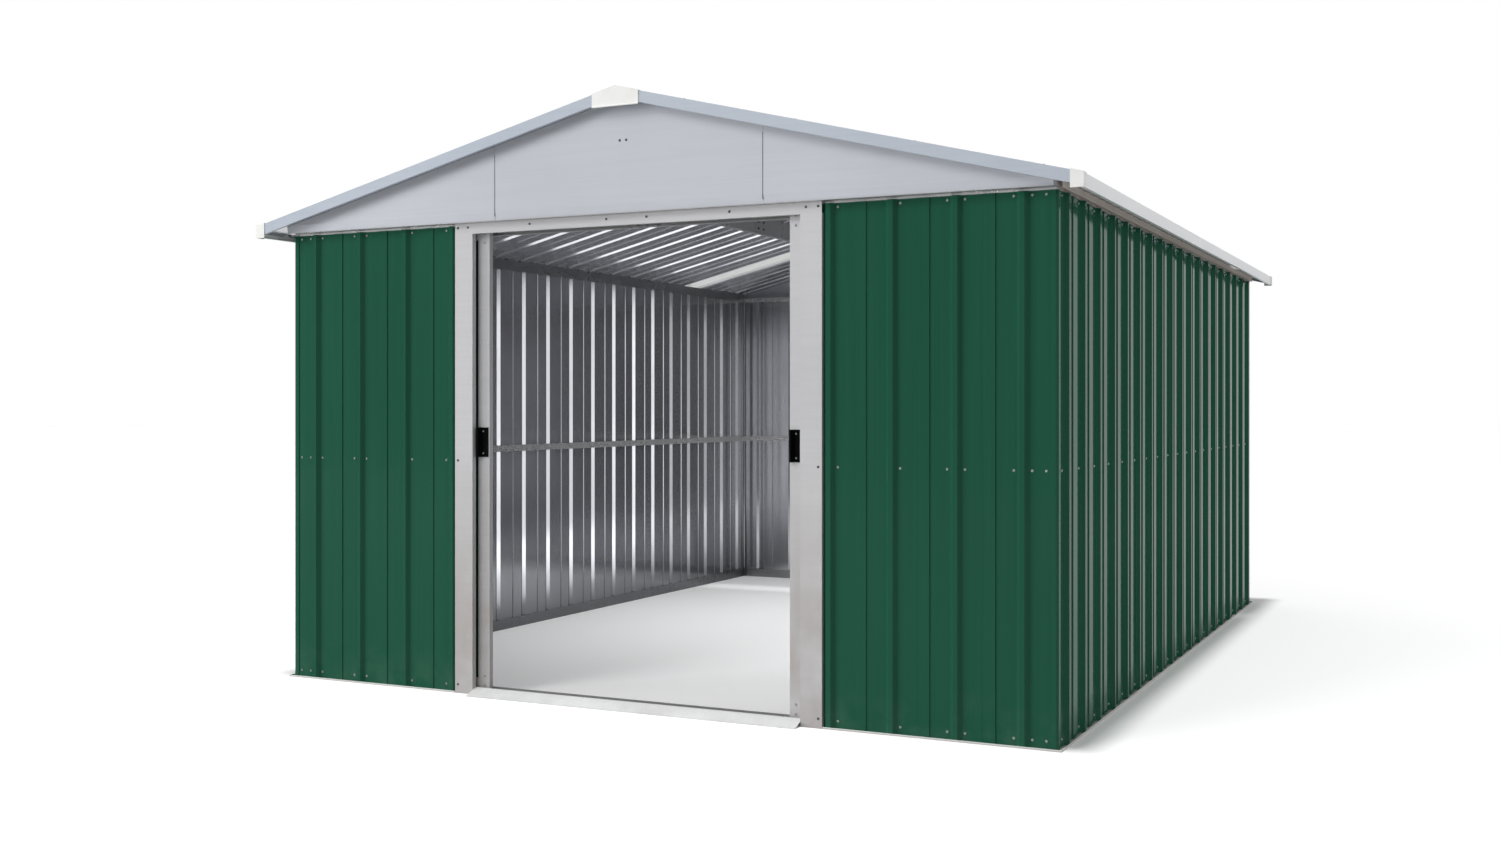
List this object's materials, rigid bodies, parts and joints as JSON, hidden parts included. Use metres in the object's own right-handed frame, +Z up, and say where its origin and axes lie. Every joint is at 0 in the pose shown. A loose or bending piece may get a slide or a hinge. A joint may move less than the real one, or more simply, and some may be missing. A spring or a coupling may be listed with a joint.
{
  "type": "metal storage shed",
  "caption": "Ribbed steel storage shed with a low pitched roof, silver gables and trims, and a wide doorway with sliding door leaves that hang from a track behind the front wall.",
  "frame": {"origin": "on the ground under the middle of the building", "axes": "+Z up, -Y out of the doorway, +X to the right of someone facing the doorway"},
  "size_m": [2.9946, 3.9846, 2.0069],
  "materials": {
    "green_sheet": "dark green coil coating, satin",
    "silver_paint": "silver grey coil coating, satin",
    "pale_galvanised": "bright galvanised, fine spangle",
    "galvanised_rail": "galvanised, dull",
    "roof_sheet": "galvanised roof sheet",
    "skylight_sheet": "translucent white ribbed plastic",
    "white_plastic": "white moulded plastic",
    "black_plastic": "black moulded plastic"
  },
  "bodies": {
    "root": {"left_base": "pale_galvanised", "right_base": "pale_galvanised", "back_base": "pale_galvanised", "front_left_base": "pale_galvanised", "front_right_base": "pale_galvanised", "door_ramp": "pale_galvanised", "lower_door_track": "galvanised_rail", "front_left_wall": "green_sheet", "front_right_wall": "green_sheet", "right_wall": "green_sheet", "back_wall": "green_sheet", "left_wall": "green_sheet", "front_left_corner": "green_sheet", "front_right_corner": "green_sheet", "back_right_corner": "green_sheet", "back_left_corner": "green_sheet", "front_left_mid_rail": "galvanised_rail", "front_right_mid_rail": "galvanised_rail", "right_mid_rail": "galvanised_rail", "back_mid_rail": "galvanised_rail", "left_mid_rail": "galvanised_rail", "front_top_rail": "galvanised_rail", "back_top_rail": "galvanised_rail", "right_top_rail": "galvanised_rail", "left_top_rail": "galvanised_rail", "left_jamb": "silver_paint", "right_jamb": "silver_paint", "door_header": "silver_paint", "upper_door_track": "galvanised_rail", "front_gable": "silver_paint", "back_gable": "silver_paint", "left_purlin": "galvanised_rail", "right_purlin": "galvanised_rail", "purlin_splices": "galvanised_rail", "left_roof": "roof_sheet", "right_roof": "roof_sheet", "left_skylight": "skylight_sheet", "right_skylight": "skylight_sheet", "ridge_capping": "silver_paint", "front_trims": "silver_paint", "back_trims": "silver_paint", "left_eaves_trim": "silver_paint", "right_eaves_trim": "silver_paint", "roof_caps": "white_plastic"},
    "left_door": {"left_door_frame": "silver_paint", "left_door_panel": "green_sheet", "left_door_handle": "black_plastic"},
    "right_door": {"right_door_frame": "silver_paint", "right_door_panel": "green_sheet", "right_door_handle": "black_plastic"}
  },
  "joints": [
    {"name": "left_door_slide", "type": "slide", "parent": "root", "child": "left_door", "axis": [1, 0, 0], "range_m": [0, 0.557]},
    {"name": "right_door_slide", "type": "slide", "parent": "root", "child": "right_door", "axis": [-1, 0, 0], "range_m": [0, 0.557]}
  ]
}
